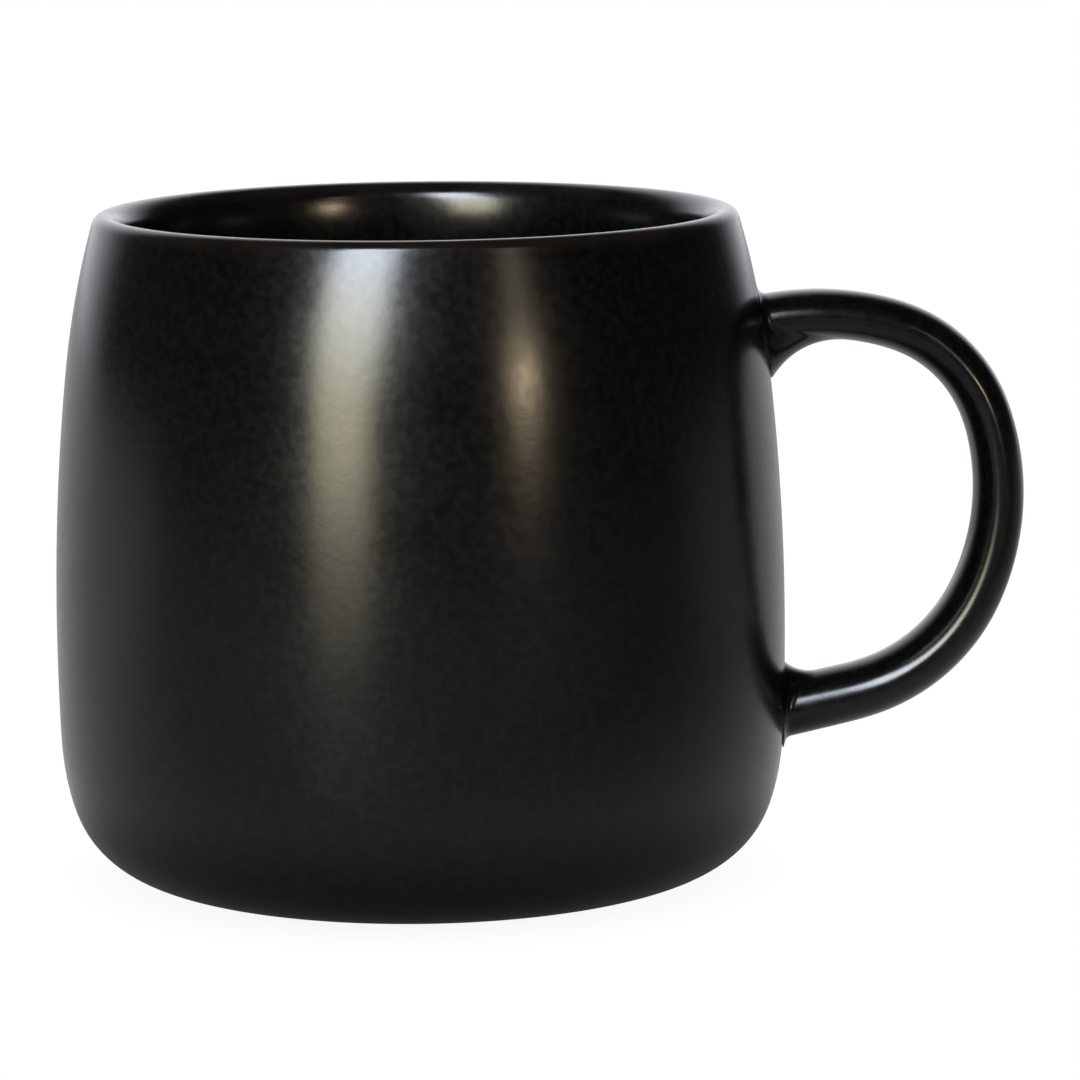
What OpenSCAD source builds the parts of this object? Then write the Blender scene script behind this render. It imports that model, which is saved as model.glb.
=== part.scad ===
// Stoneware mug: a barrel-shaped cup with a rounded lip and a bare foot ring, and a clay loop handle
// luted to the wall with slip. A thin glaze coat covers everything except the foot ring.
// The cup's axis is Z, the foot ring stands on Z = 0 and the handle points along +X.

/* [Cup] */
// Largest diameter of the cup, over the glaze
cup_d = 94; // [88:1:100]
// Height of the cup, from the foot to the lip
cup_h = 86; // [82:1:90]
// Thickness of the wall and floor, glaze included
wall = 4.4; // [3.6:0.2:5]
// Thickness of the fired glaze coat
glaze = 0.3; // [0.2:0.05:0.4]

/* [Cup profile] */
// Radius of the shallow curve just above the belly
shoulder_r = 300; // [260:10:360]
// Angle that the shoulder curve turns through
shoulder_turn = 6.5; // [5:0.5:7.5]
// Radius of the tighter curve that draws the wall in to the lip
neck_r = 115; // [105:5:130]
// Radius of the nearly straight wall just below the belly
hip_r = 400; // [300:20:600]
// Angle that the hip curve turns through
hip_turn = 2; // [1:0.25:2.5]
// Radius of the curve that starts to bring the wall under
haunch_r = 33; // [28:1:40]
// Angle of the wall where the haunch ends and the corner begins
haunch_turn = 18; // [14:1:24]
// Radius of the corner between the wall and the base
corner_r = 12.5; // [11:0.5:14]
// Radius of the lip's outer edge
lip_out_r = 1.6; // [1.2:0.1:2]
// Radius of the lip's softer inner edge
lip_in_r = 2.6; // [2.2:0.1:3]

/* [Foot] */
// Outer diameter of the unglazed foot ring
foot_d = 60; // [54:1:64]
// Width of the foot ring
foot_w = 3.5; // [2.5:0.5:5]
// How far the foot ring stands below the glazed corner
foot_drop = 0.5; // [0.4:0.1:1]
// Height of the glazed recess inside the foot ring
recess_h = 1.2; // [0.9:0.1:1.6]

/* [Handle] */
// Thickness of the handle in its own plane at its upper joint, over the glaze
upper_t = 6.3; // [5.8:0.1:7]
// Thickness of the handle in its own plane at its lower joint, over the glaze
lower_t = 7.7; // [7:0.1:8.4]
// Width of the handle across its plane, over the glaze
handle_w = 10.4; // [9:0.2:12]
// Height at which the middle of the handle's path starts, inside the wall
path_start_z = 71.3; // [70.9:0.1:71.7]
// Rise of the handle where it leaves the upper joint
launch_angle = 11.5; // [10.5:0.5:12.5]
// Radius of the flat top of the loop
crown_r = 35.5; // [35:0.1:36]
// Radius of the tight bend at the top of the loop
knuckle_r = 18.1; // [17.8:0.1:18.5]
// Radius of the long outer side of the loop
grip_r = 32.1; // [31.6:0.1:32.6]
// Radius of the bend that brings the loop back to the wall
heel_r = 23.1; // [22.8:0.1:23.4]

/* [Joints] */
// Rise at the wall of the broad fillet under the upper joint, inside the loop
upper_root = 4.5; // [3.5:0.1:5]
// Reach of that fillet along the handle, from the wall
upper_reach = 11; // [9:0.5:11.5]
// Rise at the wall of the fillet on top of the lower joint, inside the loop
lower_root = 2.9; // [2:0.1:3.4]
// Reach of that fillet along the handle, from the wall
lower_reach = 4.5; // [3.5:0.1:4.8]
// Radius of the narrow fillet round the rest of both joints
seam_fillet = 1.2; // [0.8:0.1:1.6]

/* [Hidden] */
$fn = 240;

// Longest step along a curve of the cup's profile, and largest turn between two steps
profile_step = 3;
profile_turn = 6;

// Centres of the profile's curves, as [radius from the axis, height]; each curve is tangent to the next
belly_z = foot_drop + corner_r + (hip_r - haunch_r) * sin(hip_turn) + (haunch_r - corner_r) * sin(haunch_turn);
shoulder_c = [cup_d / 2 - shoulder_r, belly_z];
neck_c = shoulder_c + (shoulder_r - neck_r) * [cos(shoulder_turn), sin(shoulder_turn)];
hip_c = [cup_d / 2 - hip_r, belly_z];
haunch_c = hip_c + (hip_r - haunch_r) * [cos(hip_turn), -sin(hip_turn)];
corner_c = haunch_c + (haunch_r - corner_r) * [cos(haunch_turn), -sin(haunch_turn)];

// The lip is rounded by two arcs that share its highest point
lip_tilt = asin((cup_h - lip_out_r - neck_c.y) / (neck_r - lip_out_r));
lip_c = neck_c + (neck_r - lip_out_r) * [cos(lip_tilt), sin(lip_tilt)];
lip_in_c = [lip_c.x, cup_h - lip_in_r];

// Inside, the neck is filled out: from the lip's inner edge, where the wall still leans outwards by lip_lean, a
// curve leads down to the shoulder at neck_foot, and from there on the wall has its even thickness
lip_lean = 10;
neck_foot = 3;
neck_top = lip_in_c + lip_in_r * [-cos(lip_lean), sin(lip_lean)];
neck_end = shoulder_c + (shoulder_r - wall) * [cos(neck_foot), sin(neck_foot)];
neck_curve = [neck_top, neck_top - 9.5 * [sin(lip_lean), cos(lip_lean)],
              neck_end + 14 * [-sin(neck_foot), cos(neck_foot)], neck_end];
neck_steps = 16;

// The glazed outside of the wall from lip to base, as [centre, radius, first angle, last angle]
wall_arcs = [[neck_c, neck_r, lip_tilt, shoulder_turn],
             [shoulder_c, shoulder_r, shoulder_turn, 0],
             [hip_c, hip_r, 0, -hip_turn],
             [haunch_c, haunch_r, -hip_turn, -haunch_turn],
             [corner_c, corner_r, -haunch_turn, -90]];

foot_r = foot_d / 2;
floor_z = foot_drop + wall;

// The path of the handle's middle, from the upper joint round to the lower one, as [radius, angle] turns
path_turns = [[crown_r, 28], [knuckle_r, 55], [grip_r, 43], [heel_r, 53.5]];
path_start_x = 44;
path_length = path_before(len(path_turns));
// Straight length of the path beyond its last turn, to just inside the wall
path_tail = 11;
// Part of the path along which the handle keeps its upper thickness
even_part = 0.4;

// Sides of the handle's section, spacing of its rings, and closer spacing beside the wall
sides = 24;
ring_step = 3;
joint_step = 0.6;
// Path lengths between which the slip joints reach, measured from the start of the path
upper_joint = [-1.2, upper_reach + 2.2];
lower_joint = [path_length + 4.8, path_length + path_tail];
// Thickness to which the slip feathers out
film = 0.05;

// Points along an arc, without its first one
function arc(centre, r, first, last) =
    let (turn = abs(last - first), n = ceil(max(turn / profile_turn, turn * r * PI / 180 / profile_step)))
    [for (i = [1 : n]) centre + r * [cos(first + (last - first) * i / n), sin(first + (last - first) * i / n)]];

// The outside of the wall from lip to base, moved into the clay by inset
function wall_line(inset) = concat(
    [lip_c + (lip_out_r - inset) * [cos(lip_tilt), sin(lip_tilt)]],
    [for (a = wall_arcs) each arc(a[0], a[1] - inset, a[2], a[3])]);

// The lip from its inner edge over to its outer one, moved into the clay by inset, without its ends
function lip_line(inset) = concat(
    arc(lip_in_c, lip_in_r - inset, 180 - lip_lean, 90),
    let (line = arc(lip_c, lip_out_r - inset, 90, lip_tilt)) [for (i = [0 : len(line) - 2]) line[i]]);

// Point of the curve inside the neck at t from 0 to 1, moved into the clay by inset
function neck_point(t, inset) =
    let (p = neck_curve, u = 1 - t,
         along = u ^ 2 * (p[1] - p[0]) + 2 * t * u * (p[2] - p[1]) + t ^ 2 * (p[3] - p[2]))
    u ^ 3 * p[0] + 3 * t * u ^ 2 * p[1] + 3 * t ^ 2 * u * p[2] + t ^ 3 * p[3]
        + inset * [-along.y, along.x] / norm(along);

// The inside of the wall from lip to floor, moved into the clay by inset
function inside_line(inset) = concat(
    [for (i = [0 : neck_steps]) neck_point(i / neck_steps, inset)],
    arc(shoulder_c, shoulder_r - wall + inset, neck_foot, 0),
    [for (i = [2 : len(wall_arcs) - 1]) let (a = wall_arcs[i]) each arc(a[0], a[1] - wall + inset, a[2], a[3])]);

function reversed(line) = [for (i = [len(line) - 1 : -1 : 0]) line[i]];

// Radius of the glazed wall at a height
function wall_radius(z) = let (a = [for (a = wall_arcs) if (z >= a[0].y + a[1] * sin(a[3])) a][0])
    a[0].x + sqrt(a[1] ^ 2 - (z - a[0].y) ^ 2);

// Length of the path before turn n
function path_before(n) = n == 0 ? 0
    : path_before(n - 1) + path_turns[n - 1][0] * path_turns[n - 1][1] * PI / 180;

// Place on the path at length s past a point, as [x, z, heading above +X]; the path turns clockwise from turn n on
function path_at(s, p = [path_start_x, path_start_z, launch_angle], n = 0) =
    let (turn = path_turns[n], bend = n == len(path_turns) ? undef : turn[0] * turn[1] * PI / 180)
    s < 0 || n == len(path_turns) ? p + s * [cos(p[2]), sin(p[2]), 0]
    : let (angle = min(s, bend) / turn[0] * 180 / PI, heading = p[2] - angle,
           q = [p.x + turn[0] * (sin(p[2]) - sin(heading)), p.y + turn[0] * (cos(heading) - cos(p[2])), heading])
      s <= bend ? q : path_at(s - bend, q, n + 1);

// Half the handle's thickness at path length s
function half_thickness(s) =
    let (part = (s / (path_length + path_tail) - even_part) / (1 - even_part))
    (upper_t + (lower_t - upper_t) * max(0, part)) / 2;

// Point of the section plane at a place on the path; q is [away from the loop's middle, across its plane]
function section_point(place, q) =
    [place.x - sin(place[2]) * q.x, q.y, place.y + cos(place[2]) * q.x];

// Rise and reach of a joint's fillet at an angle round the section; a root is [rise, reach] inside the loop
function fillet(root, angle) =
    cos(angle) > 0 ? [seam_fillet, seam_fillet] : seam_fillet * [1, 1] + (root - seam_fillet * [1, 1]) * cos(angle) ^ 2;

// How far a fillet stands off the handle's side at a gap from the wall: an arc that leaves the side smoothly
function flare(gap, f) = let (r = (f[0] ^ 2 + f[1] ^ 2) / (2 * f[0]), past = max(0, f[1] - max(gap, 0)))
    r - sqrt(r ^ 2 - past ^ 2);

// One ring of the handle's surface at path length s, moved inwards by inset and, where there is a root,
// outwards by its fillet or at least by the film's thickness
function ring(s, inset, root, film) =
    let (place = path_at(s), a = half_thickness(s), b = handle_w / 2)
    [for (i = [0 : sides - 1])
        let (side = [a * cos(360 * i / sides), b * sin(360 * i / sides)],
             normal = [side.x / a ^ 2, side.y / b ^ 2] / norm([side.x / a ^ 2, side.y / b ^ 2]),
             v = section_point(place, side),
             gap = norm([v.x, v.y]) - wall_radius(v.z))
        section_point(place, side
            + normal * ((root ? max(film, flare(gap, fillet(root, 360 * i / sides))) : 0) - inset))];

// Path lengths of the rings of both joints and of the free loop between them
function steps(from, to, step) = let (n = ceil((to - from) / step)) [for (i = [0 : n]) from + (to - from) * i / n];
upper_steps = steps(upper_joint[0], upper_joint[1], joint_step);
lower_steps = steps(lower_joint[0], lower_joint[1], joint_step * 1.5);
free_steps = let (inner = steps(upper_joint[1], lower_joint[0], ring_step)) [for (i = [1 : len(inner) - 2]) inner[i]];

// Root of the joint that is nearer to path length s
function root_at(s) = s < path_length / 2 ? [upper_root, upper_reach] : [lower_root, lower_reach];

// Rings of the fired clay: the bare handle, or the handle with its slip joints
function bare_rings(lengths) = [for (s = lengths) ring(s, glaze, false, 0)];
function joint_rings(lengths) = [for (s = lengths) ring(s, glaze, root_at(s), film)];
function glaze_rings(lengths) = [for (s = lengths) ring(s, 0, root_at(s), 0)];

// Side faces between successive rings of n points each, the first ring starting at point first
function skin(rings, first) = [for (k = [0 : rings - 2]) for (i = [0 : sides - 1])
    let (a = first + k * sides, j = (i + 1) % sides)
    each [[a + i, a + j, a + sides + j], [a + i, a + sides + j, a + sides + i]]];

// Solid rod through rings of points
module rod(rings) {
    n = len(rings);
    ends = [[for (i = [0 : sides - 1]) sides - 1 - i], [for (i = [0 : sides - 1]) (n - 1) * sides + i]];
    polyhedron([for (r = rings) each r], concat(skin(n, 0), ends));
}

// Tube between two sets of rings; each set may have its own number of rings
module tube(outer, inner) {
    no = len(outer);
    ni = len(inner);
    hole = [for (f = skin(ni, no * sides)) [f[2], f[1], f[0]]];
    cap = [for (end = [0, 1]) for (i = [0 : sides - 1])
        let (j = (i + 1) % sides, a = end * (no - 1) * sides, b = (no + end * (ni - 1)) * sides,
             quad = [a + j, a + i, b + i, b + j], q = end == 0 ? quad : reversed(quad))
        each [[q[0], q[1], q[2]], [q[0], q[2], q[3]]]];
    polyhedron([for (r = concat(outer, inner)) each r], concat(skin(no, 0), hole, cap));
}

// The cup's filled outline as a solid, moved inwards by inset, used to trim what is joined to the wall
module cup_solid(inset) {
    rotate_extrude() polygon(concat(wall_line(inset), [[0, foot_drop + inset], [0, cup_h], [lip_c.x, cup_h]]));
}

module cup_body() {
    base = [[foot_r, foot_drop + glaze], [foot_r, 0], [foot_r - foot_w, 0], [foot_r - foot_w, recess_h],
            [0, recess_h], [0, floor_z - glaze]];
    color("#8f8478") rotate_extrude() polygon(
        concat(wall_line(glaze), base, reversed(inside_line(glaze)), lip_line(glaze)));
}

module handle() {
    color("#8f8478") difference() {
        rod(bare_rings(concat(upper_steps, free_steps, lower_steps)));
        cup_solid(glaze);
    }
}

module slip_joint(lengths) {
    color("#a3988b") difference() {
        tube(joint_rings(lengths), bare_rings(lengths));
        cup_solid(glaze);
    }
}

module upper_slip_joint() {
    slip_joint(upper_steps);
}

module lower_slip_joint() {
    slip_joint(lower_steps);
}

module cup_glaze() {
    foot_edge = [[foot_r, foot_drop], [foot_r, foot_drop + glaze]];
    floor_edge = [[0, floor_z - glaze], [0, floor_z]];
    color("#141416") difference() {
        rotate_extrude() polygon(concat(
            wall_line(0), foot_edge, reversed(wall_line(glaze)), reversed(lip_line(glaze)),
            inside_line(glaze), floor_edge, reversed(inside_line(0)), lip_line(0)));
        rod(joint_rings(upper_steps));
        rod(joint_rings(lower_steps));
    }
}

module handle_glaze() {
    lengths = concat(upper_steps, free_steps, lower_steps);
    inner = concat(joint_rings(upper_steps), bare_rings([upper_joint[1]]), bare_rings(free_steps),
                   bare_rings([lower_joint[0]]), joint_rings(lower_steps));
    color("#141416") difference() {
        tube(glaze_rings(lengths), inner);
        cup_solid(0);
    }
}

module base_glaze() {
    color("#141416")
        translate([0, 0, recess_h - glaze]) cylinder(h = glaze, r = foot_r - foot_w);
}

cup_body();
handle();
upper_slip_joint();
lower_slip_joint();
cup_glaze();
handle_glaze();
base_glaze();
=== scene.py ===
# Looks of the stoneware mug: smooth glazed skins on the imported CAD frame, their materials, and the studio.
# The mug's sizes are in millimetres and its meshes are written in metres.
# The camera, the floor and the textures are in metres.
import math

import bmesh
import bpy
import numpy as np
from mathutils import Matrix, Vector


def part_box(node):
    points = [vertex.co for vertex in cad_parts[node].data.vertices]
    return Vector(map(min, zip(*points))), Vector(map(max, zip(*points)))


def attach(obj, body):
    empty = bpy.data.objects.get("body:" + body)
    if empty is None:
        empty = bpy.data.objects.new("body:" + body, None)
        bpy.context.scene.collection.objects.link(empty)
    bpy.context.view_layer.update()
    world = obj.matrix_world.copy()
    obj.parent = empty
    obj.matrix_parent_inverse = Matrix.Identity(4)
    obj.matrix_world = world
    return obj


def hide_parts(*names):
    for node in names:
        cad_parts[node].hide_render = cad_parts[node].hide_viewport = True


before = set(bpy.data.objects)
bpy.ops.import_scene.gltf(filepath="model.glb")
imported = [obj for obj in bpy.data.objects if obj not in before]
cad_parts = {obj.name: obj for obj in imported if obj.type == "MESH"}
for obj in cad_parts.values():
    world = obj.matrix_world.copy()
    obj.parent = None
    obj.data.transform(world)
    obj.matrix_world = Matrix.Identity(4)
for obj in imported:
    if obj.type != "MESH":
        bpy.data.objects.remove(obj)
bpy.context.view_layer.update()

MM = 0.001

# ---------------------------------------------------------------- camera
CAMERA_PLACE = (0.0, -0.658, 0.1488)
CAMERA_YAW, CAMERA_PITCH, CAMERA_ROLL = 1.346, 9.136, -0.587
camera = bpy.data.objects.new("camera", bpy.data.cameras.new("camera"))
bpy.context.scene.collection.objects.link(camera)
camera.data.sensor_width = 36
camera.data.lens = 171.97
camera.data.clip_start, camera.data.clip_end = 0.01, 20
camera.matrix_world = (
    Matrix.Translation(CAMERA_PLACE)
    @ Matrix.Rotation(math.radians(-CAMERA_YAW), 4, "Z")
    @ Matrix.Rotation(math.radians(90 - CAMERA_PITCH), 4, "X")
    @ Matrix.Rotation(math.radians(CAMERA_ROLL), 4, "Z")
)
bpy.context.scene.camera = camera

# ---------------------------------------------------------------- the cup's profile
cup_low, cup_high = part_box("cup_glaze")
CUP_R = (cup_high[0] - cup_low[0]) / 2 / MM
CUP_H = cup_high[2] / MM
FOOT_DROP = cup_low[2] / MM
WALL, GLAZE = 4.4, 0.3
LIP_OUT_R, LIP_IN_R, LIP_LEAN, NECK_FOOT = 1.6, 2.6, 10, 3
NECK_PULL, WALL_PULL = 9.5, 14
FOOT_R, FOOT_W, RECESS_H = 30.0, 3.5, 1.2
# Spacing of the points that outlines are worked out with, and how far the bends of wall and handle are eased.
FINE, WALL_EASE, HANDLE_EASE = 0.1, 1.5, 2.0


def polar(angle):
    """Unit vector at an angle in degrees."""
    return np.array([math.cos(math.radians(angle)), math.sin(math.radians(angle))])


def wall_arcs():
    """The glazed wall as tangent arcs from lip to base, as (centre, radius, first angle, last angle)."""
    shoulder_r, shoulder_turn, neck_r = 300, 6.5, 115
    hip_r, hip_turn, haunch_r, haunch_turn, corner_r = 400, 2, 33, 18, 12.5
    belly = FOOT_DROP + corner_r + (hip_r - haunch_r) * polar(hip_turn)[1]
    belly += (haunch_r - corner_r) * polar(haunch_turn)[1]
    shoulder = np.array([CUP_R - shoulder_r, belly])
    neck = shoulder + (shoulder_r - neck_r) * polar(shoulder_turn)
    hip = np.array([CUP_R - hip_r, belly])
    haunch = hip + (hip_r - haunch_r) * polar(-hip_turn)
    corner = haunch + (haunch_r - corner_r) * polar(-haunch_turn)
    tilt = math.degrees(math.asin((CUP_H - LIP_OUT_R - neck[1]) / (neck_r - LIP_OUT_R)))
    return [(neck, neck_r, tilt, shoulder_turn), (shoulder, shoulder_r, shoulder_turn, 0),
            (hip, hip_r, 0, -hip_turn), (haunch, haunch_r, -hip_turn, -haunch_turn),
            (corner, corner_r, -haunch_turn, -90)]


def lengths_along(line):
    """The distance along a line at each of its points."""
    return np.concatenate([[0], np.cumsum(np.linalg.norm(np.diff(line, axis=0), axis=1))])


def resample(line):
    """Points spaced evenly along a line, about FINE apart."""
    s = lengths_along(line)
    places = np.linspace(0, s[-1], max(2, int(round(s[-1] / FINE)) + 1))
    return np.stack([np.interp(places, s, line[:, k]) for k in range(line.shape[1])], axis=1)


def smoothed(line, sigma):
    """A line of points FINE apart with its curvature eased: each is blended with its neighbours within a few
    sigma, and both ends are kept straight by mirroring the line through its end points."""
    half = int(4 * sigma / FINE)
    weights = np.exp(-0.5 * (np.arange(-half, half + 1) * FINE / sigma) ** 2)
    weights /= weights.sum()
    before = 2 * line[0] - line[half:0:-1]
    after = 2 * line[-1] - line[-2:-half - 2:-1]
    long_line = np.vstack([before, line, after])
    return np.stack([np.convolve(long_line[:, k], weights, "valid") for k in range(line.shape[1])], axis=1)


def normals_of(line):
    """Unit normals on the left of a line's direction."""
    d = np.gradient(line, axis=0)
    d /= np.linalg.norm(d, axis=1)[:, None]
    return np.stack([-d[:, 1], d[:, 0]], axis=1)


def wall_line():
    """The outside of the wall from the lip to past the foot ring's edge, with eased curvature; its outward
    normals; and the index at which it meets that edge."""
    arcs = wall_arcs()
    centre, r, first, _ = arcs[0]
    run_on = 9.0
    lead = math.degrees(run_on / r)
    points = [centre + r * polar(a) for a in np.linspace(first + lead, first, 90, endpoint=False)]
    for centre, r, first, last in arcs:
        n = max(6, int(abs(first - last) * math.pi / 180 * r / FINE))
        points += [centre + r * polar(a) for a in np.linspace(first, last, n, endpoint=False)]
    base_r = arcs[-1][0][0]
    points += [np.array([x, FOOT_DROP]) for x in np.arange(base_r, base_r - 20, -FINE)]
    line = smoothed(resample(np.array(points)), WALL_EASE)
    out = normals_of(line)
    keep = slice(int(run_on / FINE), None)
    line, out = line[keep], out[keep]
    at_foot = np.where((line[:, 0] < FOOT_R) & (line[:, 1] < FOOT_DROP + 2))[0][0]
    return line, out, at_foot


outer, outward, foot_index = wall_line()


def thin_out(line, turn=3.0, step=2.0):
    """Fewer points where a line is straight: a new one after each turn in degrees or each step in mm."""
    d = np.diff(line, axis=0)
    heading = np.unwrap(np.arctan2(d[:, 1], d[:, 0]))
    length = np.linalg.norm(d, axis=1)
    kept, turned, gone = [0], 0.0, 0.0
    for i in range(1, len(line) - 1):
        turned += abs(heading[i] - heading[i - 1])
        gone += length[i - 1]
        if turned > math.radians(turn) or gone > step:
            kept.append(i)
            turned = gone = 0.0
    return line[kept + [len(line) - 1]]


LIP_OUT_C = outer[0] - LIP_OUT_R * outward[0]
LIP_IN_C = LIP_OUT_C + [0, LIP_OUT_R - LIP_IN_R]


def lip_round(inset, sides=14):
    """The lip from its soft inner edge over its top to its outer edge, moved into the clay by inset."""
    last = math.degrees(math.atan2(outward[0, 1], outward[0, 0]))
    inner = [LIP_IN_C + (LIP_IN_R - inset) * polar(a) for a in np.linspace(180 - LIP_LEAN, 90, sides)]
    outer_part = [LIP_OUT_C + (LIP_OUT_R - inset) * polar(a) for a in np.linspace(90, last, sides)[1:]]
    return np.array(inner + outer_part)


def outside(inset):
    """The outside of the wall from lip to the foot ring's edge, moved into the clay by inset."""
    return thin_out(outer[:foot_index] - inset * outward[:foot_index])


def inside(inset):
    """The inside from the lip to the middle of the floor, moved into the clay by inset. The neck is filled
    out, so that the wall still leans outwards a little at the lip."""
    tilt = np.degrees(np.arctan2(outward[:, 1], outward[:, 0]))
    start = int(np.argmax(tilt < NECK_FOOT))
    end, out = outer[start] - WALL * outward[start], outward[start]
    top = LIP_IN_C + LIP_IN_R * np.array([-polar(LIP_LEAN)[0], polar(LIP_LEAN)[1]])
    p = [top, top - NECK_PULL * polar(LIP_LEAN)[::-1], end + WALL_PULL * np.array([-out[1], out[0]]), end]
    t = np.linspace(0, 1, 40)[:, None]
    curve = (1 - t) ** 3 * p[0] + 3 * t * (1 - t) ** 2 * p[1] + 3 * t ** 2 * (1 - t) * p[2] + t ** 3 * p[3]
    along = (1 - t) ** 2 * (p[1] - p[0]) + 2 * t * (1 - t) * (p[2] - p[1]) + t ** 2 * (p[3] - p[2])
    along /= np.linalg.norm(along, axis=1)[:, None]
    curve = curve + inset * np.stack([-along[:, 1], along[:, 0]], axis=1)
    lower = outer[start:] - (WALL - inset) * outward[start:]
    lower = thin_out(lower[lower[:, 0] > 17])[1:]
    return np.vstack([curve, lower, [[x, lower[-1, 1]] for x in (12, 7, 3)]])


# ---------------------------------------------------------------- meshes
def new_piece(name, verts, faces):
    """A smooth mesh object of the mug, written in metres."""
    mesh = bpy.data.meshes.new(name)
    mesh.from_pydata([tuple(v * MM) for v in np.asarray(verts, float)], [], faces)
    mesh.validate()
    mesh.shade_smooth()
    piece = bpy.data.objects.new(name, mesh)
    bpy.context.scene.collection.objects.link(piece)
    return piece


def lathe(name, profile, segments=256):
    """A solid of revolution about Z. A profile point on the axis becomes one vertex."""
    verts, rows = [], []
    for r, z in profile:
        if r < 1e-6:
            rows.append([len(verts)])
            verts.append((0, 0, z))
        else:
            rows.append(list(range(len(verts), len(verts) + segments)))
            turns = [2 * math.pi * k / segments for k in range(segments)]
            verts += [(r * math.cos(t), r * math.sin(t), z) for t in turns]
    faces = []
    for low, high in zip(rows, rows[1:]):
        for k in range(segments):
            n = (k + 1) % segments
            if len(low) == 1 and len(high) == 1:
                break
            if len(low) == 1:
                faces.append((low[0], high[n], high[k]))
            elif len(high) == 1:
                faces.append((low[k], low[n], high[0]))
            else:
                faces.append((low[k], low[n], high[n], high[k]))
    return new_piece(name, verts, faces)


def rounded(points, radius, sides=5):
    """An open outline with its inner corners rounded."""
    points = [np.array(p, float) for p in points]
    out = [points[0]]
    for before, here, after in zip(points, points[1:], points[2:]):
        a, b = before - here, after - here
        cut = min(radius, np.linalg.norm(a) / 2.2, np.linalg.norm(b) / 2.2)
        p, q = here + a / np.linalg.norm(a) * cut, here + b / np.linalg.norm(b) * cut
        for t in np.linspace(0, 1, sides):
            out.append((1 - t) ** 2 * p + 2 * t * (1 - t) * here + t ** 2 * q)
    return np.array(out + [points[-1]])


# The glaze coat of the cup: a thin closed shell from the middle of the floor, up the inside, over the lip and
# down the wall to the foot ring's edge, and back under itself. Its edge at the foot is rounded.
foot_edge = np.array([[FOOT_R + 0.14, FOOT_DROP + 0.02], [FOOT_R + 0.02, FOOT_DROP + 0.1],
                      [FOOT_R + 0.01, FOOT_DROP + 0.2]])
coat = np.vstack([
    inside(0)[::-1][:-1],
    lip_round(0),
    outside(0)[1:],
    foot_edge,
    outside(GLAZE)[::-1][:-1],
    lip_round(GLAZE)[::-1],
    inside(GLAZE)[1:],
])
floor_top, floor_under = coat[0, 1], coat[-1, 1]
coat = np.vstack([[[0, floor_top]], coat, [[0, floor_under]]])
cup_glaze = lathe("mug_cup_glaze", coat)

# The cup's clay, seen only at the foot ring, whose edges the potter has softened.
foot = rounded([[FOOT_R + 0.02, FOOT_DROP + GLAZE], [FOOT_R, 0], [FOOT_R - FOOT_W, 0],
                [FOOT_R - FOOT_W, RECESS_H - 0.02], [FOOT_R - FOOT_W - 3, RECESS_H - GLAZE]], 0.6)
clay_gap = 0.06
clay = np.vstack([
    [[0, floor_under - clay_gap]],
    inside(GLAZE + clay_gap)[::-1][:-1],
    lip_round(GLAZE + clay_gap),
    outside(GLAZE + clay_gap)[1:],
    foot,
    [[0, RECESS_H - GLAZE]],
])
cup_body = lathe("mug_cup_body", clay, 192)

# The glaze pool in the recess under the cup: its face sags a little and its edge climbs the foot ring.
pool_r, pool_top = FOOT_R - FOOT_W - 0.02, RECESS_H - GLAZE + 0.02
pool_climb, pool_meniscus, pool_face, pool_sag = 0.14, 2.2, pool_top - 0.04, 0.03
pool = [[0, pool_top], [pool_r, pool_top], [pool_r, pool_top - pool_climb]]
pool += [[pool_r - pool_meniscus * t, pool_top - pool_climb + 0.1 * math.sin(t * math.pi / 2)]
         for t in np.linspace(0.15, 1, 8)]
pool += [[r, pool_face - pool_sag * (1 - (r / 24) ** 2)] for r in (20, 15, 10, 5, 0)]
base_glaze = lathe("mug_base_glaze", pool, 160)

# ---------------------------------------------------------------- the handle
UPPER_T, LOWER_T, HANDLE_W = 6.3, 7.7, 10.4
PATH_START, LAUNCH = (44.0, 71.3), 11.5
TURNS = [(35.5, 28), (18.1, 55), (32.1, 43), (23.1, 53.5)]
# The straight lead and tail inside the wall, and the part of the way along which the handle is evenly thick.
LEAD, TAIL, EVEN_PART = 6, 11.0, 0.4
# Rise and reach of each joint's fillets: the broad one inside the loop, and the narrow one round the rest.
UPPER_ROOT, LOWER_ROOT, SEAM_FILLET = (4.5, 11.0), (2.9, 4.5), (1.2, 1.2)
# Rings: how far the end ones sink into the wall, their spacings, and how far from the ends these hold.
UPPER_SINK, LOWER_SINK = 1.6, 1.2
DENSE, CLOSE, LOOP_RINGS, RING_SIDES = 0.14, 0.3, 180, 96
BY_WALL, UPPER_NEAR, LOWER_NEAR = 4.5, 14, 7


def handle_path():
    """The middle of the handle from inside the wall round to the wall again, as (x, z) points."""
    here, heading = np.array(PATH_START), LAUNCH
    points = [here + s * polar(heading) for s in np.arange(-LEAD, 0, FINE)]
    for r, turn in TURNS:
        centre = here - r * polar(heading + 90)
        n = int(r * math.radians(turn) / FINE)
        points += [centre + r * polar(heading + 90 - turn * i / n) for i in range(n)]
        heading -= turn
        here = centre + r * polar(heading + 90)
    points += [here + s * polar(heading) for s in np.arange(0, TAIL, FINE)]
    return smoothed(resample(np.array(points)), HANDLE_EASE)


path = handle_path()
path_s = lengths_along(path) - LEAD
path_out = normals_of(path)
wall_z = outer[:foot_index][::-1, 1]
wall_r = outer[:foot_index][::-1, 0]
rising = np.concatenate([[True], np.diff(wall_z) > 0])


def wall_gap(points):
    """How far points stand off the glazed wall, measured level."""
    r = np.hypot(points[:, 0], points[:, 1])
    return r - np.interp(points[:, 2], wall_z[rising], wall_r[rising])


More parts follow.
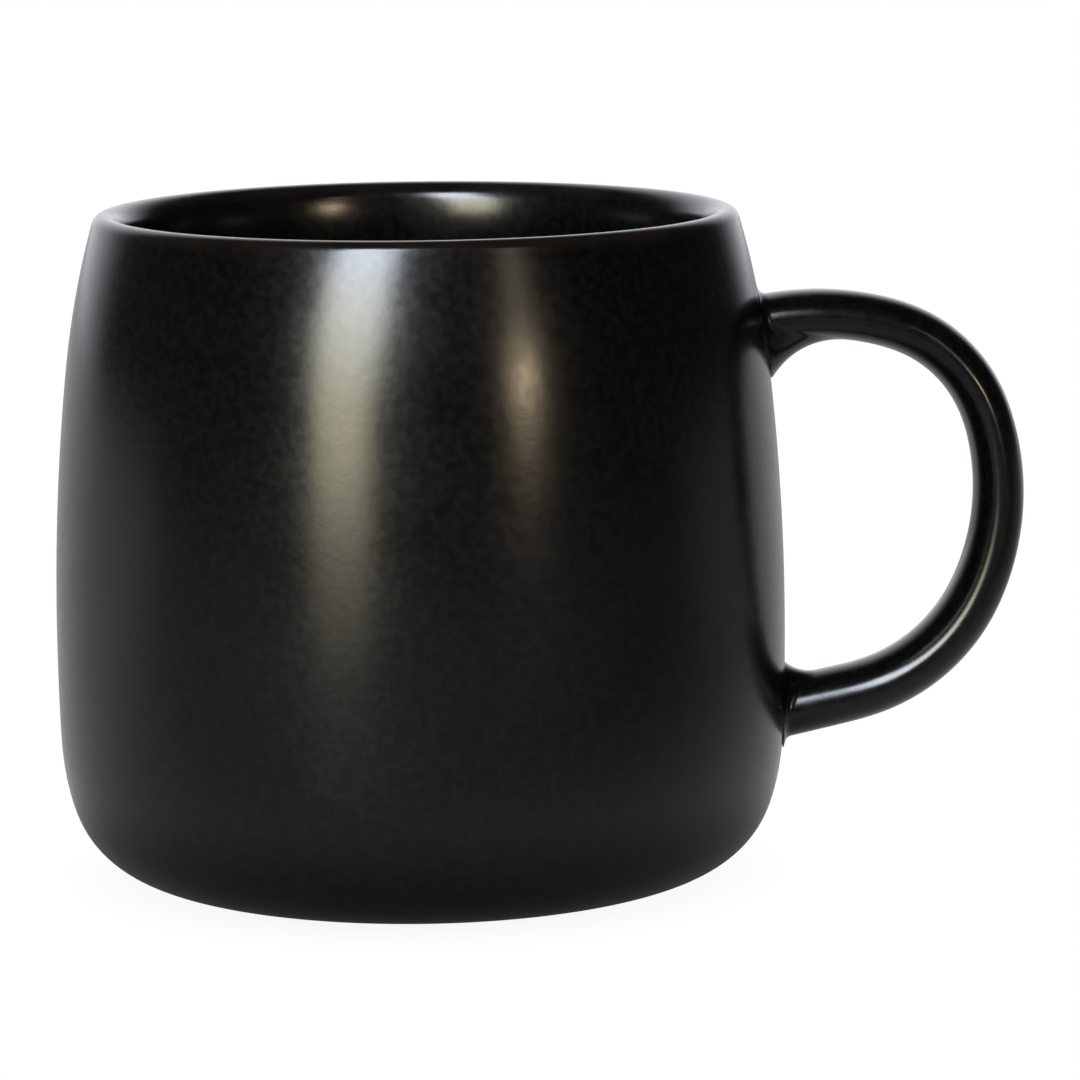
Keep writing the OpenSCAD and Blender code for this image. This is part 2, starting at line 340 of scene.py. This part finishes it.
def flare(gap, rise, reach):
    """How far a joint's fillet stands off the handle's side at a gap from the wall."""
    radius = (rise ** 2 + reach ** 2) / (2 * rise)
    past = np.clip(reach - np.clip(gap, 0, None), 0, None)
    return radius - np.sqrt(radius ** 2 - past ** 2)


def ring_places():
    """Path lengths of the handle's rings, from inside the wall to inside the wall, closest by the wall."""
    gap = wall_gap(np.stack([path[:, 0], 0 * path[:, 0], path[:, 1]], axis=1))
    first = path_s[np.where(gap > -UPPER_SINK)[0][0]]
    last = path_s[np.where(gap > -LOWER_SINK)[0][-1]]
    return np.concatenate([np.arange(first, first + BY_WALL, DENSE),
                           np.arange(first + BY_WALL, first + UPPER_NEAR, CLOSE),
                           np.linspace(first + UPPER_NEAR, last - LOWER_NEAR, LOOP_RINGS, endpoint=False),
                           np.arange(last - LOWER_NEAR, last - BY_WALL, CLOSE),
                           np.arange(last - BY_WALL, last, DENSE)])


def handle_ring(s):
    """One ring of the handle's glazed surface: an oval across the path, flared where it nears the wall."""
    x, z = np.interp(s, path_s, path[:, 0]), np.interp(s, path_s, path[:, 1])
    out = np.array([np.interp(s, path_s, path_out[:, 0]), np.interp(s, path_s, path_out[:, 1])])
    out /= np.linalg.norm(out)
    part = max(0, (s / path_s[-1] - EVEN_PART) / (1 - EVEN_PART))
    a, b = (UPPER_T + (LOWER_T - UPPER_T) * part) / 2, HANDLE_W / 2
    t = 2 * np.pi * np.arange(RING_SIDES) / RING_SIDES
    side = np.stack([a * np.cos(t), b * np.sin(t)], axis=1)
    normal = side / np.array([a * a, b * b])
    normal /= np.linalg.norm(normal, axis=1)[:, None]
    root = UPPER_ROOT if s < path_s[-1] / 2 else LOWER_ROOT
    in_loop = np.where(np.cos(t) < 0, np.cos(t) ** 2, 0)
    rise, reach = (SEAM_FILLET[k] + (root[k] - SEAM_FILLET[k]) * in_loop for k in (0, 1))

    def placed(q):
        return np.stack([x + out[0] * q[:, 0], q[:, 1], z + out[1] * q[:, 0]], axis=1)

    return placed(side + normal * flare(wall_gap(placed(side)), rise, reach)[:, None])


def loft(name, rings):
    """A closed skin through rings of points, with fans at both ends."""
    count, sides, _ = rings.shape
    verts = [v for ring in rings for v in ring]
    faces = []
    for base in range(0, (count - 1) * sides, sides):
        for i in range(sides):
            n = (i + 1) % sides
            faces.append((base + i, base + n, base + sides + n, base + sides + i))
    for base, middle, turn in ((0, rings[0].mean(0), 1), ((count - 1) * sides, rings[-1].mean(0), -1)):
        verts.append(middle)
        for i in range(sides):
            edge = (base + i, base + (i + 1) % sides)[::turn]
            faces.append((edge[1], edge[0], len(verts) - 1))
    return new_piece(name, verts, faces)


handle_glaze = loft("mug_handle_glaze", np.array([handle_ring(s) for s in ring_places()]))


def outward_faces(piece):
    """Turns all faces of a closed mesh outwards."""
    work = bmesh.new()
    work.from_mesh(piece.data)
    bmesh.ops.recalc_face_normals(work, faces=work.faces)
    work.to_mesh(piece.data)
    work.free()


for piece in (cup_glaze, cup_body, base_glaze, handle_glaze):
    outward_faces(piece)


# ---------------------------------------------------------------- materials
FIRED_IOR = 1.5


class Nodes:
    """A short way to build node trees."""

    def __init__(self, tree):
        self.tree = tree
        tree.nodes.clear()

    def add(self, kind, inputs=None, **settings):
        node = self.tree.nodes.new(kind)
        for key, value in settings.items():
            setattr(node, key, value)
        for key, value in (inputs or {}).items():
            if isinstance(value, bpy.types.NodeSocket):
                self.tree.links.new(value, node.inputs[key])
            else:
                node.inputs[key].default_value = value
        return node

    def math(self, operation, *values):
        return self.add("ShaderNodeMath", dict(enumerate(values)), operation=operation).outputs[0]

    def vector(self, operation, *values, out=0):
        return self.add("ShaderNodeVectorMath", dict(enumerate(values)), operation=operation).outputs[out]

    def span(self, value, low, high, to_low=0.0, to_high=1.0, smooth=True):
        return self.add("ShaderNodeMapRange", {0: value, 1: low, 2: high, 3: to_low, 4: to_high},
                        interpolation_type="SMOOTHSTEP" if smooth else "LINEAR").outputs[0]

    def noise(self, place, scale, detail, rough):
        inputs = {"Vector": place, "Scale": scale, "Detail": detail, "Roughness": rough}
        return self.add("ShaderNodeTexNoise", inputs).outputs[0]

    def coat(self, colour, rough, bump):
        """Ends a material with one shader for a fired surface."""
        inputs = {"Base Color": colour, "Roughness": rough, "IOR": FIRED_IOR, "Normal": bump}
        shader = self.add("ShaderNodeBsdfPrincipled", inputs)
        self.add("ShaderNodeOutputMaterial", {"Surface": shader.outputs[0]})

    def blend(self, factor, a, b):
        node = self.add("ShaderNodeMix", data_type="RGBA")
        for key, value in ((0, factor), (6, a), (7, b)):
            if isinstance(value, bpy.types.NodeSocket):
                self.tree.links.new(value, node.inputs[key])
            else:
                node.inputs[key].default_value = value
        return node.outputs[2]


def new_material(name):
    material = bpy.data.materials.new(name)
    material.use_nodes = True
    return material, Nodes(material.node_tree)


def black_glaze():
    """Semi-gloss black glaze: faint clouds in gloss and colour, orange-peel surface, brown on the lip."""
    material, n = new_material("black_glaze")
    place = n.add("ShaderNodeTexCoord").outputs["Object"]
    height = n.add("ShaderNodeSeparateXYZ", {0: place}).outputs[2]
    clouds = n.noise(place, 900, 4, 0.6)
    drift = n.noise(place, 90, 3, 0.5)
    grain = n.noise(place, 4200, 2, 0.5)
    body = n.blend(n.span(clouds, 0.35, 0.68), (0.0010, 0.0010, 0.0012, 1), (0.0030, 0.0028, 0.0026, 1))
    lip = n.math("MULTIPLY", n.span(height, (CUP_H - 2.2) * MM, (CUP_H - 0.1) * MM),
                 n.span(drift, 0.32, 0.66, 0.35, 1.0))
    colour = n.blend(lip, body, (0.010, 0.0065, 0.0045, 1))
    gloss = n.math("ADD", n.span(clouds, 0.3, 0.7, 0.185, 0.225), n.span(drift, 0.3, 0.7, -0.012, 0.012))
    relief = n.math("ADD", n.math("MULTIPLY", clouds, 0.5), n.math("MULTIPLY", grain, 0.16))
    relief = n.math("ADD", relief, n.math("MULTIPLY", drift, 1.6))
    bump = n.add("ShaderNodeBump", {"Strength": 0.28, "Distance": 0.00006, "Height": relief}).outputs[0]
    n.coat(colour, gloss, bump)
    return material


def stoneware(name, light, dark, speck):
    """Bare fired clay: matt, sandy, with fine grog and iron specks."""
    material, n = new_material(name)
    place = n.add("ShaderNodeTexCoord").outputs["Object"]
    sand = n.noise(place, 2600, 5, 0.65)
    patch = n.noise(place, 140, 3, 0.5)
    cells = n.add("ShaderNodeTexVoronoi", {"Vector": place, "Scale": 900.0}).outputs["Distance"]
    colour = n.blend(n.span(patch, 0.3, 0.7), light, dark)
    colour = n.blend(n.span(sand, 0.62, 0.75, 0.0, 0.5), colour, speck)
    colour = n.blend(n.span(cells, 0.10, 0.16, 0.8, 0.0), colour, speck)
    relief = n.math("ADD", n.math("MULTIPLY", sand, 0.7), n.math("MULTIPLY", cells, 0.3))
    bump = n.add("ShaderNodeBump", {"Strength": 0.6, "Distance": 0.00012, "Height": relief}).outputs[0]
    rough = n.span(sand, 0.3, 0.7, 0.78, 0.92)
    n.coat(colour, rough, bump)
    return material


glaze_material = black_glaze()
clay_material = stoneware("stoneware", (0.36, 0.30, 0.235, 1), (0.29, 0.235, 0.18, 1),
                          (0.10, 0.07, 0.05, 1))
slip_material = stoneware("slip", (0.42, 0.36, 0.29, 1), (0.35, 0.29, 0.23, 1), (0.16, 0.12, 0.09, 1))


def dress(piece, material, node):
    """Gives a piece its material and slot, lets it stand for a CAD node, and fixes it to the one body."""
    piece.data.materials.clear()
    piece.data.materials.append(material)
    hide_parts(node)
    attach(piece, "root")


dress(cup_glaze, glaze_material, "cup_glaze")
dress(handle_glaze, glaze_material, "handle_glaze")
dress(base_glaze, glaze_material, "base_glaze")
dress(cup_body, clay_material, "cup_body")
for node_name, material in (("handle", clay_material), ("upper_slip_joint", slip_material),
                            ("lower_slip_joint", slip_material)):
    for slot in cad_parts[node_name].material_slots:
        slot.material = material

# ---------------------------------------------------------------- studio
# A round pale table under the mug, and a studio that is white behind the mug and dark in front of it, with
# a large soft light on the left of the camera and a narrow one on its right. The camera itself sees only
# white, with a faint painted shade at the mug's foot.
FLOOR_R, FLOOR_SIDES, FLOOR_Z = 2.0, 96, -0.00005
floor_mesh = bpy.data.meshes.new("floor")
turns = [2 * math.pi * k / FLOOR_SIDES for k in range(FLOOR_SIDES)]
floor_edge = [(FLOOR_R * math.cos(t), FLOOR_R * math.sin(t), FLOOR_Z) for t in turns]
floor_mesh.from_pydata(floor_edge, [], [tuple(range(FLOOR_SIDES))])
floor = bpy.data.objects.new("floor", floor_mesh)
bpy.context.scene.collection.objects.link(floor)

floor_material, n = new_material("pale_floor")
place = n.add("ShaderNodeTexCoord").outputs["Object"]
x, y = n.add("ShaderNodeSeparateXYZ", {0: place}).outputs[:2]
from_mug = n.vector("LENGTH", place, out=1)
# What the camera sees of the table: white, with a painted shadow that makes it a little darker close to the
# mug's foot.
painted_foot_shadow = n.span(from_mug, 0.026, 0.050, 0.90, 1.0)
white_table = n.add("ShaderNodeEmission", {"Color": (1, 1, 1, 1), "Strength": painted_foot_shadow}).outputs[0]
# What the glaze mirrors: a glowing stand-in for a lit table, ending a little in front of the mug, with
# painted shade there and at the foot.
on_table = n.span(y, -0.175, -0.105)
level = n.math("MULTIPLY", n.span(y, -0.09, 0.07, 0.29, 0.58), n.span(from_mug, 0.030, 0.078, 0.17, 1.0))
# Painted shade: beside the mug, and above all on its right, the far table is darker than the table behind it.
backward = n.math("DIVIDE", y, n.math("MAXIMUM", from_mug, 0.001))
painted_side_shade = n.math("MULTIPLY", n.span(from_mug, 0.07, 0.20), n.span(backward, 0.35, 0.85, 0.62, 0.0))
painted_side_shade = n.math("MULTIPLY", painted_side_shade, n.span(x, -0.05, 0.05, 0.25, 1.0))
level = n.math("MULTIPLY", level, n.math("SUBTRACT", 1.0, painted_side_shade))
table_light = n.add("ShaderNodeEmission", {"Color": (0.94, 0.97, 1.0, 1), "Strength": level}).outputs[0]
nothing = n.add("ShaderNodeBsdfTransparent").outputs[0]
mirrored_table = n.add("ShaderNodeMixShader", {0: on_table, 1: nothing, 2: table_light}).outputs[0]
is_camera = n.add("ShaderNodeLightPath").outputs["Is Camera Ray"]
table = n.add("ShaderNodeMixShader", {0: is_camera, 1: mirrored_table, 2: white_table}).outputs[0]
n.add("ShaderNodeOutputMaterial", {"Surface": table})
floor_mesh.materials.append(floor_material)

world = bpy.data.worlds.new("studio")
bpy.context.scene.world = world
world.use_nodes = True
n = Nodes(world.node_tree)
ray = n.add("ShaderNodeTexCoord").outputs["Generated"]
x, y, z = n.add("ShaderNodeSeparateXYZ", {0: ray}).outputs[:3]
azimuth = n.math("MULTIPLY", n.math("ARCTAN2", x, n.math("MULTIPLY", y, -1.0)), 180 / math.pi)
rise = n.math("MULTIPLY", n.math("ARCSINE", z), 180 / math.pi)


def strip(middle, half_width, soft):
    """Brightness of a soft-edged upright strip of light at an azimuth from the front, in degrees."""
    off = n.math("ABSOLUTE", n.math("SUBTRACT", azimuth, middle))
    return n.span(off, half_width - soft, half_width + soft, 1.0, 0.0)


def between(low, high, soft_low, soft_high):
    """Brightness between two elevations, with soft ends."""
    up = n.span(rise, low - soft_low, low + soft_low)
    down = n.span(rise, high - soft_high, high + soft_high, 1.0, 0.0)
    return n.math("MULTIPLY", up, down)


def scaled(colour, strength, mask):
    node = n.add("ShaderNodeVectorMath", {0: tuple(c * strength for c in colour)}, operation="SCALE")
    n.tree.links.new(mask, node.inputs["Scale"])
    return node.outputs[0]


def ramp(value, low, high, stops):
    """Colour against a value in a range, as (value, strength, (r, g, b)) stops, on a scale of PEAK."""
    node = n.add("ShaderNodeValToRGB", {0: n.span(value, low, high, smooth=False)})
    elements = node.color_ramp.elements
    while len(elements) < len(stops):
        elements.new(0.5)
    for element, (place, strength, colour) in zip(elements, stops):
        element.position = (place - low) / (high - low)
        element.color = [c * strength / PEAK for c in colour] + [1]
    return node.outputs[0]


PEAK = 24.0
SOFT_WHITE, WARM, PALE_WARM = (0.96, 0.98, 1.04), (1.15, 0.90, 0.56), (1.10, 0.95, 0.72)
BLUISH, NEUTRAL, CREAM, KHAKI = (0.93, 1.02, 1.14), (1.0, 1.03, 0.96), (1.0, 1.0, 0.83), (1.03, 0.96, 0.68)
window = ramp(rise, -14, 52, [
    (-14, 0.0, KHAKI), (-10, 0.15, KHAKI), (-7, 0.45, KHAKI), (-4, 1.2, KHAKI), (-1, 3.6, KHAKI),
    (1.5, 6.6, KHAKI), (4, 9.4, KHAKI), (7, 11.2, KHAKI), (12, 13.2, CREAM), (17, 15.0, NEUTRAL),
    (20, 17.0, NEUTRAL), (25, 19.0, BLUISH), (47, 19.0, BLUISH), (52, 0.0, BLUISH)])
# The window's middle drifts towards the camera as it rises, and it is wider there.
window_middle = n.span(rise, 8, 30, -24.5, -17.6, smooth=False)
window_off = n.math("ABSOLUTE", n.math("SUBTRACT", azimuth, window_middle))
window_half = n.span(rise, 5, 16, 8.3, 10.8)
window_mask = n.span(n.math("SUBTRACT", window_off, window_half), -2.5, 2.5, 1.0, 0.0)

# The white surround starts further back on the right, and is brighter there. In front it is nearly dark.
behind = n.span(n.math("SUBTRACT", y, n.span(x, -0.3, 0.3, -0.04, 0.14)), 0.54, 0.92)
behind = n.math("MULTIPLY", behind, n.span(x, -1.0, 1.0, 0.82, 1.95, smooth=False))
ahead = n.span(rise, -12, 2, 0.29, 0.045)
ahead = n.math("MULTIPLY", ahead, n.span(x, -1.0, 1.0, 1.15, 0.62, smooth=False))
above = n.span(rise, 6, 22, 1.0, 0.5)
parts = [
    scaled(SOFT_WHITE, 1.0, n.math("MULTIPLY", ahead, above)),
    scaled(SOFT_WHITE, 1.0, behind),
    n.vector("MULTIPLY", window, scaled((1, 1, 1), PEAK, window_mask)),
    scaled(WARM, 21.0, n.math("MULTIPLY", strip(34.6, 3.4, 2), between(6.2, 10.4, 1.6, 1.6))),
    scaled(PALE_WARM, 2.1, n.math("MULTIPLY", strip(34.2, 3.4, 2), between(4, 36, 3, 4))),
]
total = parts[0]
for part in parts[1:]:
    total = n.vector("ADD", total, part)
mirrored_studio = n.add("ShaderNodeBackground", {"Color": total, "Strength": 1.0}).outputs[0]
white_backdrop = n.add("ShaderNodeBackground", {"Color": (1, 1, 1, 1), "Strength": 1.0}).outputs[0]
is_camera = n.add("ShaderNodeLightPath").outputs["Is Camera Ray"]
surround = n.add("ShaderNodeMixShader", {0: is_camera, 1: mirrored_studio, 2: white_backdrop}).outputs[0]
n.add("ShaderNodeOutputWorld", {"Surface": surround})

bpy.context.scene.view_settings.view_transform = "Standard"
